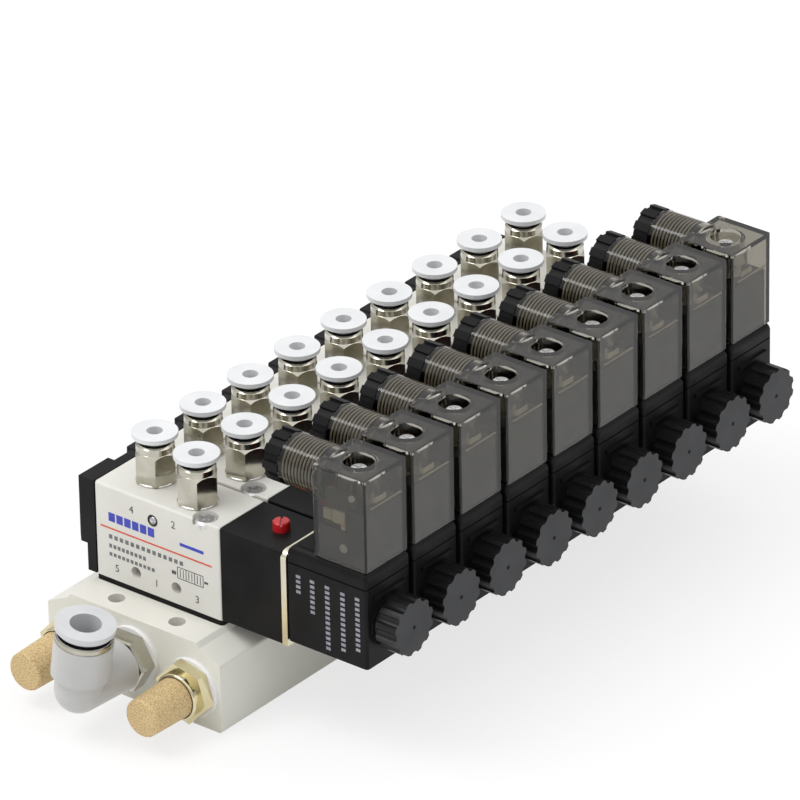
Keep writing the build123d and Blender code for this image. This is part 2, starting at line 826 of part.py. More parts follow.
write(silencer_bodies.part, "silencer_bodies")

with BuildPart(silencer_plane.offset(silencer_socket_floor)) as silencer_element:
    element_length = element_reach - silencer_socket_floor
    Cone(element_root_radius - slide_play, element_tip_radius, element_length, align=from_below)
    fillet(silencer_element.edges().group_by(Axis.Y)[0], radius=element_tip_round)
    Cylinder(
        element_tip_radius - element_wall,
        element_length - element_wall,
        align=from_below,
        mode=Mode.SUBTRACT,
    )
write(silencer_element.part, "silencer_elements", [(x, 0, 0) for x, _ in exhaust_spots])

# Rear plugs with a hexagon socket
with BuildPart() as port_plugs:
    plug_plane = rear_ports.offset(seal_thickness)
    with BuildSketch(plug_plane):
        with Locations(*port_spots):
            Circle(plug_head_radius)
    extrude(amount=plug_head_length)
    chamfer(port_plugs.edges().group_by(Axis.Y)[-1], length=plug_head_chamfer)
    with BuildSketch(plug_plane):
        with Locations(*port_spots):
            Circle(port_thread_radius - thread_play)
    extrude(amount=-plug_stem_length)
    with BuildSketch(plug_plane.offset(plug_head_length)):
        with Locations(*port_spots):
            RegularPolygon(plug_socket_flats / 2, 6, major_radius=False)
    extrude(amount=-plug_socket_depth, mode=Mode.SUBTRACT)
write(port_plugs.part, "port_plugs")

# Elbow stem: thread, hexagon and the stub that the elbow body turns on
elbow_plane = Plane(
    origin=(0, -end_y - seal_thickness, supply_port_height), x_dir=(1, 0, 0), z_dir=(0, -1, 0)
)
with BuildPart(elbow_plane) as elbow_stem:
    with BuildSketch(elbow_plane):
        RegularPolygon(elbow_flats / 2, 6, major_radius=False)
    extrude(amount=elbow_hex_length)
    chamfer(elbow_stem.edges().group_by(Axis.Y)[0], length=elbow_hex_chamfer)
    Cylinder(port_thread_radius - thread_play, elbow_stem_length, align=from_above)
    with Locations((0, 0, elbow_hex_length)):
        Cylinder(elbow_pivot_radius, elbow_pivot_length, align=from_below)
    with Locations((0, 0, -elbow_stem_length)):
        Cylinder(
            elbow_stem_bore,
            elbow_stem_length + elbow_hex_length + elbow_pivot_length,
            align=from_below,
            mode=Mode.SUBTRACT,
        )
write(elbow_stem.part, "elbow_stem")

# Elbow body: a tapered arm that turns on the stub, a round heel and a barrel for the supply tube
arm_start = elbow_hex_length + elbow_hub_gap
elbow_top = elbow_barrel_top + elbow_collar_height
elbow_y = -end_y - seal_thickness - elbow_reach
barrel_plane = Plane(origin=(0, elbow_y, supply_port_height)).rotated((0, elbow_turn, 0))
with BuildPart(barrel_plane) as elbow_body:
    Sphere(elbow_heel_radius)
    Cylinder(elbow_heel_radius, elbow_barrel_start, align=from_below)
    with Locations((0, 0, elbow_barrel_start)):
        Cylinder(elbow_barrel_radius, elbow_barrel_top - elbow_barrel_start, align=from_below)
    with BuildSketch(elbow_plane.offset(arm_start)):
        Circle(elbow_arm_radius)
    with BuildSketch(elbow_plane.offset(elbow_reach)):
        Circle(elbow_heel_radius)
    loft()
    with Locations((0, 0, elbow_top)):
        Cylinder(elbow_collar_radius, elbow_collar_height, align=from_above)
        Cylinder(
            elbow_tube_radius, elbow_top - elbow_tube_stop, align=from_above, mode=Mode.SUBTRACT
        )
        Cylinder(elbow_stem_bore, elbow_top, align=from_above, mode=Mode.SUBTRACT)
        Cylinder(
            elbow_ring_sleeve_radius + slide_play,
            elbow_ring_sleeve_length - elbow_ring_lift + ring_travel + drop_in_play,
            align=from_above,
            mode=Mode.SUBTRACT,
        )
    with BuildSketch(elbow_plane.offset(arm_start)):
        Circle(elbow_pivot_radius + slide_play)
    extrude(amount=elbow_pivot_length - elbow_hub_gap + drop_in_play, mode=Mode.SUBTRACT)
    with BuildSketch(elbow_plane.offset(arm_start)):
        Circle(elbow_stem_bore)
    extrude(amount=elbow_reach - arm_start, mode=Mode.SUBTRACT)
write(elbow_body.part, "elbow_body")

elbow_ring = release_ring(
    elbow_tube_radius,
    elbow_ring_sleeve_radius,
    elbow_ring_sleeve_length,
    elbow_collar_radius,
    elbow_ring_flange_radius,
    elbow_ring_flange_height,
    elbow_ring_rim,
)
write(elbow_ring, "elbow_release_ring", [barrel_plane.offset(elbow_top + elbow_ring_lift)])
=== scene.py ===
from math import cos, pi, radians, sin

import bmesh
import bpy
from mathutils import Euler, Matrix, Vector


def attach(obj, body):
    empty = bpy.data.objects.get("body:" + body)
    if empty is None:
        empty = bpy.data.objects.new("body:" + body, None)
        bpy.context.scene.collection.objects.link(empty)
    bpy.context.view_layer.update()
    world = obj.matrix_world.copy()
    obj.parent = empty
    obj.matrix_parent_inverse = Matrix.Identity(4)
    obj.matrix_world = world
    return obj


mm = 0.001

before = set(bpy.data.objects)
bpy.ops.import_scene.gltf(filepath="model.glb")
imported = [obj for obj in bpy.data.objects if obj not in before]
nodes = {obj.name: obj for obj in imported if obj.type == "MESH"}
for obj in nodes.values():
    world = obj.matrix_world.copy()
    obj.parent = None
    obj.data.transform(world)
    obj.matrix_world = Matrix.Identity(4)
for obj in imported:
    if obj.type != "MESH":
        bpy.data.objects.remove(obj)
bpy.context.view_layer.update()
print("frame loaded:", len(nodes), "nodes")

# The row of valves, as the frame has it
row = {"count": 9, "pitch": 19.0, "width": 18.0}
stationY = [(n - (row["count"] - 1) / 2) * row["pitch"] for n in range(row["count"])]


# Materials: each finish mixes two tones by noise and adds fine bump and uneven roughness

def finish(name, look):
    mat = bpy.data.materials.new(name)
    mat.use_nodes = True
    tree = mat.node_tree
    shader = tree.nodes["Principled BSDF"]
    coords = tree.nodes.new("ShaderNodeTexCoord")
    spread = tree.nodes.new("ShaderNodeTexNoise")
    spread.inputs["Scale"].default_value = look["toneScale"]
    spread.inputs["Detail"].default_value = 4
    tree.links.new(coords.outputs["Object"], spread.inputs["Vector"])
    ramp = tree.nodes.new("ShaderNodeValToRGB")
    ramp.color_ramp.elements[0].position = look.get("toneLow", 0.35)
    ramp.color_ramp.elements[1].position = look.get("toneHigh", 0.65)
    ramp.color_ramp.elements[0].color = (*look["dark"], 1)
    ramp.color_ramp.elements[1].color = (*look["light"], 1)
    tree.links.new(spread.outputs["Fac"], ramp.inputs["Fac"])
    tree.links.new(ramp.outputs["Color"], shader.inputs["Base Color"])
    # painted shade: the colour is darkened on the knob's scalloped side, behind its end face at
    # faceX
    if "paintedSideShade" in look:  # the end face at faceX stays paler than the side behind it
        along = tree.nodes.new("ShaderNodeSeparateXYZ")
        tree.links.new(coords.outputs["Object"], along.inputs["Vector"])
        shade = tree.nodes.new("ShaderNodeMapRange")
        shade.inputs["From Min"].default_value = (look["faceX"] - look["fadeFrom"]) * mm
        shade.inputs["From Max"].default_value = (look["faceX"] - look["fadeTo"]) * mm
        shade.inputs["To Min"].default_value = look["paintedSideShade"]
        tree.links.new(along.outputs["X"], shade.inputs["Value"])
        dim = tree.nodes.new("ShaderNodeVectorMath")
        dim.operation = "SCALE"
        tree.links.new(ramp.outputs["Color"], dim.inputs["Vector"])
        tree.links.new(shade.outputs["Result"], dim.inputs["Scale"])
        tree.links.new(dim.outputs["Vector"], shader.inputs["Base Color"])

    grain = tree.nodes.new("ShaderNodeTexNoise")
    grain.inputs["Scale"].default_value = look["grainScale"]
    grain.inputs["Detail"].default_value = 3
    stretch = tree.nodes.new("ShaderNodeMapping")
    stretch.inputs["Scale"].default_value = look.get("stretch", (1, 1, 1))
    tree.links.new(coords.outputs["Object"], stretch.inputs["Vector"])
    tree.links.new(stretch.outputs["Vector"], grain.inputs["Vector"])
    bump = tree.nodes.new("ShaderNodeBump")
    bump.inputs["Strength"].default_value = look["bump"]
    bump.inputs["Distance"].default_value = look.get("bumpDepth", 0.05) * mm
    tree.links.new(grain.outputs["Fac"], bump.inputs["Height"])
    tree.links.new(bump.outputs["Normal"], shader.inputs["Normal"])
    worn = tree.nodes.new("ShaderNodeMapRange")
    worn.inputs["To Min"].default_value = look["roughness"] - look.get("roughSpread", 0.05)
    worn.inputs["To Max"].default_value = look["roughness"] + look.get("roughSpread", 0.05)
    tree.links.new(grain.outputs["Fac"], worn.inputs["Value"])
    tree.links.new(worn.outputs["Result"], shader.inputs["Roughness"])

    shader.inputs["Metallic"].default_value = look.get("metallic", 0.0)
    shader.inputs["Transmission Weight"].default_value = look.get("transmission", 0.0)
    shader.inputs["IOR"].default_value = 1.45
    shader.inputs["Coat Weight"].default_value = look.get("coat", 0.0)
    shader.inputs["Specular IOR Level"].default_value = look.get("specular", 0.5)
    mat.diffuse_color = (*look["light"], 1)
    return mat


finishes = {
    "whitePaint": {"dark": (0.675, 0.665, 0.615), "light": (0.71, 0.70, 0.655), "toneScale": 60,
                   "grainScale": 2600, "bump": 0.25, "bumpDepth": 0.02, "roughness": 0.42},
    "manifoldPaint": {"dark": (0.70, 0.69, 0.625), "light": (0.755, 0.745, 0.68), "toneScale": 30,
                      "grainScale": 1500, "bump": 0.3, "bumpDepth": 0.03, "roughness": 0.45,
                      "stretch": (1, 0.08, 1)},
    "blackRubber": {"dark": (0.006, 0.006, 0.006), "light": (0.011, 0.011, 0.011),
                    "toneScale": 200, "grainScale": 2500, "bump": 0.4, "roughness": 0.75,
                    "specular": 0.2},
    "blackPlastic": {"dark": (0.005, 0.005, 0.0055), "light": (0.009, 0.009, 0.0095),
                     "toneScale": 120, "grainScale": 3500, "bump": 0.35, "bumpDepth": 0.03,
                     "roughness": 0.42, "specular": 0.16},
    "coverPlastic": {"dark": (0.006, 0.006, 0.006), "light": (0.011, 0.011, 0.011),
                     "toneScale": 90, "grainScale": 3500, "bump": 0.45, "bumpDepth": 0.03,
                     "roughness": 0.5, "specular": 0.2},
    # knobPlastic carries painted shade: its scalloped side is darker than its end face
    "knobPlastic": {"dark": (0.016, 0.017, 0.019), "light": (0.026, 0.027, 0.030),
                    "toneScale": 120, "grainScale": 3000, "bump": 0.4, "bumpDepth": 0.03,
                    "roughness": 0.36, "specular": 0.35, "faceX": 75.7, "fadeFrom": 0.25,
                    "fadeTo": 0.05, "paintedSideShade": 0.3},
    "screwSteel": {"dark": (0.76, 0.76, 0.75), "light": (0.86, 0.86, 0.85), "toneScale": 90,
                   "grainScale": 1200, "bump": 0.12, "bumpDepth": 0.01, "roughness": 0.24,
                   "metallic": 0.7},
    "valveScrewSteel": {"dark": (0.62, 0.62, 0.615), "light": (0.76, 0.76, 0.75),
                        "toneScale": 90, "grainScale": 1200, "bump": 0.12, "bumpDepth": 0.01,
                        "roughness": 0.3, "metallic": 0.78},
    "yellowZinc": {"dark": (0.76, 0.71, 0.54), "light": (0.86, 0.82, 0.68), "toneScale": 40,
                   "grainScale": 1200, "bump": 0.12, "bumpDepth": 0.01, "roughness": 0.3,
                   "metallic": 1.0},
    "buttonRed": {"dark": (0.50, 0.008, 0.014), "light": (0.60, 0.014, 0.022), "toneScale": 300,
                  "grainScale": 2500, "bump": 0.2, "bumpDepth": 0.02, "roughness": 0.35,
                  "coat": 0.3},
    "smokedClear": {"dark": (0.45, 0.43, 0.38), "light": (0.485, 0.465, 0.415), "toneScale": 60,
                    "grainScale": 1200, "bump": 0.04, "bumpDepth": 0.01, "roughness": 0.05,
                    "transmission": 1.0, "roughSpread": 0.02},
    "insertGrey": {"dark": (0.095, 0.105, 0.112), "light": (0.135, 0.145, 0.155),
                   "toneScale": 200, "grainScale": 2500, "bump": 0.3, "roughness": 0.55},
    "threadSmoke": {"dark": (0.38, 0.34, 0.26), "light": (0.50, 0.45, 0.35), "toneScale": 200,
                    "grainScale": 2500, "bump": 0.2, "roughness": 0.3, "coat": 0.3},
    "nickelPlate": {"dark": (0.43, 0.41, 0.34), "light": (0.60, 0.575, 0.50), "toneScale": 120,
                    "grainScale": 1400, "bump": 0.15, "bumpDepth": 0.012, "roughness": 0.15,
                    "metallic": 1.0},
    "brightNickel": {"dark": (0.84, 0.83, 0.80), "light": (0.90, 0.89, 0.86), "toneScale": 120,
                     "grainScale": 1400, "bump": 0.1, "bumpDepth": 0.01, "roughness": 0.2,
                     "metallic": 0.8},
    "nylonSeal": {"dark": (0.76, 0.76, 0.765), "light": (0.81, 0.81, 0.815), "toneScale": 200,
                  "grainScale": 2000, "bump": 0.3, "roughness": 0.45},
    "turnedBrass": {"dark": (0.60, 0.53, 0.32), "light": (0.78, 0.71, 0.48), "toneScale": 90,
                    "grainScale": 1300, "bump": 0.15, "bumpDepth": 0.012, "roughness": 0.17,
                    "metallic": 1.0},
    "darkSeam": {"dark": (0.05, 0.035, 0.015), "light": (0.09, 0.06, 0.03), "toneScale": 300,
                 "grainScale": 2000, "bump": 0.2, "roughness": 0.6},
    "sinteredBronze": {"dark": (0.34, 0.22, 0.09), "light": (0.70, 0.53, 0.28),
                       "toneScale": 2600, "toneLow": 0.3, "toneHigh": 0.55, "grainScale": 2100,
                       "bump": 1.0, "bumpDepth": 0.25, "roughness": 0.7, "metallic": 0.15},
    "elbowResin": {"dark": (0.47, 0.47, 0.46), "light": (0.52, 0.52, 0.51), "toneScale": 60,
                   "grainScale": 1800, "bump": 0.2, "bumpDepth": 0.02, "roughness": 0.33,
                   "coat": 0.15},
    "elbowRingResin": {"dark": (0.55, 0.555, 0.565), "light": (0.60, 0.605, 0.615),
                       "toneScale": 120, "grainScale": 2200, "bump": 0.2, "bumpDepth": 0.02,
                       "roughness": 0.35},
    "ringResin": {"dark": (0.66, 0.67, 0.68), "light": (0.71, 0.72, 0.73), "toneScale": 120,
                  "grainScale": 2200, "bump": 0.2, "bumpDepth": 0.02, "roughness": 0.35},
    "spoolAlloy": {"dark": (0.62, 0.63, 0.65), "light": (0.74, 0.75, 0.77), "toneScale": 200,
                   "grainScale": 1200, "bump": 0.3, "bumpDepth": 0.02, "roughness": 0.25,
                   "metallic": 1.0},
    "coreSteel": {"dark": (0.50, 0.50, 0.51), "light": (0.64, 0.64, 0.65), "toneScale": 200,
                  "grainScale": 1500, "bump": 0.3, "bumpDepth": 0.02, "roughness": 0.3,
                  "metallic": 1.0},
    "blueInk": {"dark": (0.035, 0.05, 0.42), "light": (0.05, 0.07, 0.50), "toneScale": 900,
                "grainScale": 3000, "bump": 0.2, "bumpDepth": 0.01, "roughness": 0.5},
    "redInk": {"dark": (0.62, 0.07, 0.03), "light": (0.70, 0.10, 0.045), "toneScale": 900,
               "grainScale": 3000, "bump": 0.2, "bumpDepth": 0.01, "roughness": 0.5},
    "darkInk": {"dark": (0.05, 0.05, 0.055), "light": (0.08, 0.08, 0.09), "toneScale": 900,
                "grainScale": 3000, "bump": 0.2, "bumpDepth": 0.01, "roughness": 0.5},
    "greyInk": {"dark": (0.13, 0.13, 0.135), "light": (0.18, 0.18, 0.19), "toneScale": 900,
                "grainScale": 3000, "bump": 0.2, "bumpDepth": 0.01, "roughness": 0.5},
    "paleInk": {"dark": (0.22, 0.23, 0.26), "light": (0.30, 0.31, 0.35), "toneScale": 900,
                "grainScale": 3000, "bump": 0.2, "bumpDepth": 0.01, "roughness": 0.5},
    "boardGreen": {"dark": (0.10, 0.11, 0.09), "light": (0.14, 0.15, 0.12), "toneScale": 400,
                   "grainScale": 1800, "bump": 0.3, "roughness": 0.5},
    "lampBeige": {"dark": (0.84, 0.77, 0.60), "light": (0.93, 0.86, 0.70), "toneScale": 300,
                  "grainScale": 1800, "bump": 0.2, "roughness": 0.3, "coat": 0.4},
    "contactWhite": {"dark": (0.90, 0.90, 0.88), "light": (0.95, 0.95, 0.93), "toneScale": 300,
                     "grainScale": 1800, "bump": 0.1, "roughness": 0.25, "coat": 0.4},
}
skins = {name: finish(name, look) for name, look in finishes.items()}

# The finish of each CAD node, by the start of its name
nodeFinish = {
    "manifold": "manifoldPaint", "valve_gaskets": "blackRubber", "valve_bodies": "whitePaint",
    "end_covers": "coverPlastic", "valve_screws": "valveScrewSteel",
    "pilot_blocks": "blackPlastic", "yoke_plates": "yellowZinc",
    "armature_tubes": "coreSteel", "armatures": "coreSteel",
    "coils": "blackPlastic", "coil_nuts": "knobPlastic", "connector_covers": "smokedClear",
    "connector_inserts": "insertGrey", "connector_screws": "screwSteel",
    "gland_nuts": "blackPlastic", "gland_seals": "blackRubber", "fitting_bodies": "nickelPlate",
    "port_seals": "nylonSeal", "silencer_bodies": "turnedBrass",
    "silencer_elements": "sinteredBronze", "port_plugs": "nickelPlate",
    "elbow_stem": "nickelPlate", "elbow_body": "elbowResin",
    "elbow_release_ring": "elbowRingResin", "release_ring": "ringResin",
    "override_button": "buttonRed", "spool": "spoolAlloy",
}
for nodeName, piece in nodes.items():
    key = max((k for k in nodeFinish if nodeName.startswith(k)), key=len)
    if not piece.material_slots:
        piece.data.materials.append(skins[nodeFinish[key]])
    piece.material_slots[0].material = skins[nodeFinish[key]]
print("materials on the frame's nodes")


# Helpers for new pieces, all sizes in millimetres

def place(x, y, z, turn=(0, 0, 0)):
    swing = Euler([radians(a) for a in turn]).to_matrix().to_4x4()
    return Matrix.Translation(Vector((x, y, z)) * mm) @ swing


def bevelled(bm, verts, edges, width):
    cut = bmesh.ops.bevel(bm, geom=edges, offset=width * mm, segments=2, affect="EDGES",
                          profile=0.5, material=-1)
    return list({v for f in cut["faces"] for v in f.verts} | {v for v in verts if v.is_valid})


def addBar(bm, centre, size, turn=(0, 0, 0), edge=0.0):
    verts = bmesh.ops.create_cube(bm, size=1.0)["verts"]
    scale = Matrix.Diagonal((size[0] * mm, size[1] * mm, size[2] * mm, 1))
    bmesh.ops.transform(bm, matrix=scale, verts=verts)
    if edge:
        verts = bevelled(bm, verts, list({e for v in verts for e in v.link_edges}), edge)
    bmesh.ops.transform(bm, matrix=place(*centre, turn=turn), verts=verts)


def addDrum(bm, centre, radius, length, turn=(0, 0, 0), edge=0.0, sides=32):
    verts = bmesh.ops.create_cone(bm, cap_ends=True, segments=sides, radius1=radius * mm,
                                  radius2=radius * mm, depth=length * mm)["verts"]
    if edge:  # only the level edges, round both ends
        rims = [e for e in {e for v in verts for e in v.link_edges}
                if abs(e.verts[0].co.z - e.verts[1].co.z) < 1e-9]
        verts = bevelled(bm, verts, rims, edge)
    bmesh.ops.transform(bm, matrix=place(*centre, turn=turn), verts=verts)


def addSpun(bm, outline, centre, turn=(0, 0, 0), sides=40):
    # A closed outline of radius and height, spun about its own upright axis
    profile = [bm.verts.new((r * mm, 0, z * mm)) for r, z in outline]
    edges = [bm.edges.new((profile[k - 1], profile[k])) for k in range(len(profile))]
    bmesh.ops.spin(bm, geom=profile + edges, cent=(0, 0, 0), axis=(0, 0, 1), angle=2 * pi,
                   steps=sides, use_merge=True)
    verts = set(profile)  # what was spun is found from the profile, edge by edge
    todo = list(profile)
    while todo:
        for e in todo.pop().link_edges:
            for v in e.verts:
                if v not in verts:
                    verts.add(v)
                    todo.append(v)
    bmesh.ops.transform(bm, matrix=place(*centre, turn=turn), verts=list(verts))


def addHoop(bm, centre, radius, thick, turn=(0, 0, 0), sides=40, around=8):
    steps = [2 * pi * k / around for k in range(around)]
    outline = [(radius + thick * cos(a), thick * sin(a)) for a in steps]
    addSpun(bm, outline, centre, turn=turn, sides=sides)


def newPiece(name, bm, body, finishName, smooth=False):
    bmesh.ops.remove_doubles(bm, verts=bm.verts, dist=1e-7)
    bmesh.ops.recalc_face_normals(bm, faces=bm.faces)
    mesh = bpy.data.meshes.new(name)
    bm.to_mesh(mesh)
    bm.free()
    mesh.materials.append(skins[finishName])
    if smooth:
        mesh.polygons.foreach_set("use_smooth", [True] * len(mesh.polygons))
    piece = bpy.data.objects.new(name, mesh)
    bpy.context.scene.collection.objects.link(piece)
    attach(piece, body)


# Inside the connector covers: gland threads, lamp board and lamps, terminals and a ledge
glandThread = {"startX": 39.8, "pitch": 1.05, "turns": 10, "axisZ": 74.1, "radius": 6.3,
               "thick": 0.3}
bm = bmesh.new()
for y in stationY:
    for k in range(glandThread["turns"]):
        addHoop(bm, (glandThread["startX"] + k * glandThread["pitch"], y, glandThread["axisZ"]),
                glandThread["radius"], glandThread["thick"], turn=(0, 90, 0), around=6)
newPiece("glandThreads", bm, "island", "threadSmoke", smooth=True)

board = {"x": 58.2, "side": -5.7, "z": 69.0, "size": (9.4, 0.8, 10.0)}
bm = bmesh.new()
for y in stationY:
    addBar(bm, (board["x"], y + board["side"], board["z"]), board["size"], edge=0.15)
newPiece("lampBoards", bm, "island", "boardGreen")

lamps = {"side": -6.52, "deep": 0.8,
         "blocks": [(58.2, 66.9, 4.1, 3.5), (54.6, 66.9, 2.6, 3.0), (59.6, 64.4, 1.5, 1.3)],
         "ledgeX": 65.85, "ledgeDeep": 0.5,
         "ledge": [(1.0, 70.9, 12.0, 0.35), (-1.2, 72.6, 4.4, 1.3)]}
bm = bmesh.new()
for y in stationY:
    for x, z, wide, high in lamps["blocks"]:
        addBar(bm, (x, y + lamps["side"], z), (wide, lamps["deep"], high), edge=0.2)
    for along, z, wide, high in lamps["ledge"]:
        addBar(bm, (lamps["ledgeX"], y + along, z), (lamps["ledgeDeep"], wide, high),
               edge=0.1)
newPiece("lampParts", bm, "island", "lampBeige")

contacts = {"high": (62.2, 73.4, 0.9), "highSide": -6.52, "highDeep": 0.8,
            "low": (59.7, 58.7, 1.2), "lowSide": -6.94, "lowDeep": 0.2,
            "screwX": 55.2, "screwY": 3.4, "screwZ": 63.9, "screwRadius": 1.6, "screwHigh": 1.4}
bm = bmesh.new()
for y in stationY:
    x, z, radius = contacts["high"]
    addDrum(bm, (x, y + contacts["highSide"], z), radius, contacts["highDeep"],
            turn=(90, 0, 0), edge=0.25)
    x, z, radius = contacts["low"]
    addDrum(bm, (x, y + contacts["lowSide"], z), radius, contacts["lowDeep"], turn=(90, 0, 0))
    for side in (-1, 1):
        addDrum(bm, (contacts["screwX"], y + side * contacts["screwY"], contacts["screwZ"]),
                contacts["screwRadius"], contacts["screwHigh"], edge=0.3)
newPiece("terminalScrews", bm, "island", "contactWhite")
print("connector interiors")

# Knobs' centre dimples with painted shade, the bodies' passage balls with painted shadow rings
# round them, the fittings' foot rings and painted shadows under their release rings
dimpleShadeDisc = {"x": 75.72, "axisZ": 38.3, "radius": 0.55, "thick": 0.06}
# painted shade: a flat black disc on each knob face stands in for the shade in its centre dimple
bm = bmesh.new()
for y in stationY:
    addDrum(bm, (dimpleShadeDisc["x"], y, dimpleShadeDisc["axisZ"]), dimpleShadeDisc["radius"], dimpleShadeDisc["thick"],
            turn=(0, 90, 0), sides=20)
newPiece("knobDimpleShades", bm, "island", "blackRubber")

passage = {"x": -1.4, "z": 46.9, "ballRadius": 1.35, "ballSink": 0.9, "gapShadowRadius": 1.5,
           "gapShadowThick": 0.14, "gapShadowLift": 0.02}
bm = bmesh.new()
for y in stationY:
    ball = bmesh.ops.create_uvsphere(bm, u_segments=20, v_segments=12,
                                     radius=passage["ballRadius"] * mm)["verts"]
    spot = (passage["x"], y - row["width"] / 2 + passage["ballSink"], passage["z"])
    bmesh.ops.transform(bm, matrix=place(*spot), verts=ball)
newPiece("passageBalls", bm, "island", "coreSteel", smooth=True)

# painted shadow: a thin black ring round each passage ball stands in for the shade in the gap
# between ball and hole
bm = bmesh.new()
for y in stationY:
    addHoop(bm, (passage["x"], y - row["width"] / 2 + passage["gapShadowLift"], passage["z"]),
            passage["gapShadowRadius"], passage["gapShadowThick"], turn=(90, 0, 0), sides=32, around=6)
newPiece("passageGapShadows", bm, "island", "blackRubber", smooth=True)

fittings = {"spots": [(-8.6, 1.28), (7.3, -1.28)], "foot": 52.42, "footRadius": 5.12,
            "footThick": 0.3, "shadeZ": 63.1, "shadeInner": 3.3, "shadeOuter": 4.4,
            "shadeThick": 0.1}
bm = bmesh.new()
for y in stationY:
    for x, along in fittings["spots"]:
        addHoop(bm, (x, y + along, fittings["foot"]), fittings["footRadius"],
                fittings["footThick"])
newPiece("fittingFeet", bm, "island", "brightNickel", smooth=True)

# painted shadow: thin black rings on the collars stand in for the shade in the gap under each
# release ring
inner, outer, thick = (fittings[k] for k in ("shadeInner", "shadeOuter", "shadeThick"))
bm = bmesh.new()
for y in stationY:
    for x, along in fittings["spots"]:
        addSpun(bm, [(inner, 0), (outer, 0), (outer, thick), (inner, thick)],
                (x, y + along, fittings["shadeZ"]))
newPiece("fittingGapShadows", bm, "island", "blackRubber")
print("knobs, passage balls and fitting rings")

# The elbow's metal sleeve, a painted shadow (a thin black ring) in the gap under its ring, and the
# seam of each silencer
elbow = {"turn": 9.0, "portZ": 13.3, "y": -117.0, "inner": 7.18, "outer": 7.45, "low": 15.35,
         "high": 16.85, "slope": (0.2, 0.3), "shadeInner": 5.55, "shadeOuter": 7.0,
         "shadeLow": 16.9, "shadeHigh": 17.0}
elbowSpot = (0, elbow["y"], elbow["portZ"])
bm = bmesh.new()
addSpun(bm, [(elbow["inner"], elbow["low"]), (elbow["outer"], elbow["low"]),
             (elbow["outer"], elbow["high"] - elbow["slope"][1]),
             (elbow["outer"] - elbow["slope"][0], elbow["high"]),
             (elbow["inner"], elbow["high"])], elbowSpot, turn=(0, elbow["turn"], 0), sides=64)
newPiece("elbowCollar", bm, "elbow", "nickelPlate")
# painted shadow: a thin black ring stands in for the shade in the gap under the elbow's release
# ring
bm = bmesh.new()
addSpun(bm, [(elbow["shadeInner"], elbow["shadeLow"]), (elbow["shadeOuter"], elbow["shadeLow"]),
             (elbow["shadeOuter"], elbow["shadeHigh"]), (elbow["shadeInner"], elbow["shadeHigh"])],
        elbowSpot, turn=(0, elbow["turn"], 0), sides=64)
newPiece("elbowGapShadow", bm, "elbow", "blackRubber")

silencer = {"x": 19.3, "z": 10.6, "y": -102.53, "radius": 5.78, "thick": 0.1}
bm = bmesh.new()
for side in (-1, 1):
    addHoop(bm, (side * silencer["x"], silencer["y"], silencer["z"]), silencer["radius"],
            silencer["thick"], turn=(90, 0, 0), sides=64, around=6)
newPiece("silencerSeams", bm, "island", "darkSeam", smooth=True)
print("elbow sleeve and silencer seams")

# Printing, as plain marks on the supply side of the valves and coils
printing = {"lift": 0.02, "thick": 0.05}


def sideMarks(bm, marks, face):
    for y in stationY:
        for x, z, wide, high in marks:
            addBar(bm, (x, y - face - printing["lift"], z), (wide, printing["thick"], high))


blueField = {"left": -16.1, "z": 43.35, "wide": 2.1, "gap": 0.5, "high": 2.5, "count": 6,
             "bar": (11.3, 43.1, 7.8, 0.9)}
marks = [(blueField["left"] + (k + 0.5) * blueField["wide"] + k * blueField["gap"],
          blueField["z"], blueField["wide"], blueField["high"]) for k in range(blueField["count"])]
marks.append(blueField["bar"])
bm = bmesh.new()
sideMarks(bm, marks, row["width"] / 2)
newPiece("valveStripes", bm, "island", "blueInk")

redRule = {"x": -0.55, "z": 40.0, "wide": 36.7, "high": 0.45}
bm = bmesh.new()
sideMarks(bm, [(redRule["x"], redRule["z"], redRule["wide"], redRule["high"])], row["width"] / 2)
newPiece("valveRules", bm, "island", "redInk")

lineRows = [{"left": -16.2, "z": 37.6, "count": 14, "wide": 1.1, "step": 1.8, "high": 1.2},
            {"left": -16.2, "z": 34.9, "count": 9, "wide": 0.9, "step": 1.4, "high": 1.1},
            {"left": -16.2, "z": 32.5, "count": 11, "wide": 0.9, "step": 1.4, "high": 1.0}]
marks = [(line["left"] + k * line["step"] + line["wide"] / 2, line["z"], line["wide"],
          line["high"]) for line in lineRows for k in range(line["count"])]
bm = bmesh.new()
sideMarks(bm, marks, row["width"] / 2)
newPiece("valveLines", bm, "island", "greyInk")

symbol = {"left": 6.4, "z": 34.6, "cell": 2.8, "high": 3.2, "line": 0.2, "cells": 3,
          "innerShort": 0.8, "coilEnd": (-1.2, -0.4, 1.4, 1.0), "springEnd": (1.0, 0, 1.2, 0.6)}
marks = [(symbol["left"] + k * symbol["cell"], symbol["z"], symbol["line"], symbol["high"])
         for k in range(symbol["cells"] + 1)]
middle = symbol["left"] + symbol["cells"] * symbol["cell"] / 2
for up in (-0.5, 0.5):
    marks.append((middle, symbol["z"] + up * symbol["high"], symbol["cells"] * symbol["cell"],
                  symbol["line"]))
for k in range(symbol["cells"]):
    for side in (-0.5, 0.5):
        marks.append((symbol["left"] + (k + 0.5) * symbol["cell"] + side, symbol["z"],
                      symbol["line"], symbol["high"] - symbol["innerShort"]))
for end, start in (("coilEnd", symbol["left"]),
                   ("springEnd", symbol["left"] + symbol["cells"] * symbol["cell"])):
    along, up, wide, high = symbol[end]
    marks.append((start + along, symbol["z"] + up, wide, high))
bm = bmesh.new()
sideMarks(bm, marks, row["width"] / 2)
newPiece("valveSymbols", bm, "island", "darkInk")

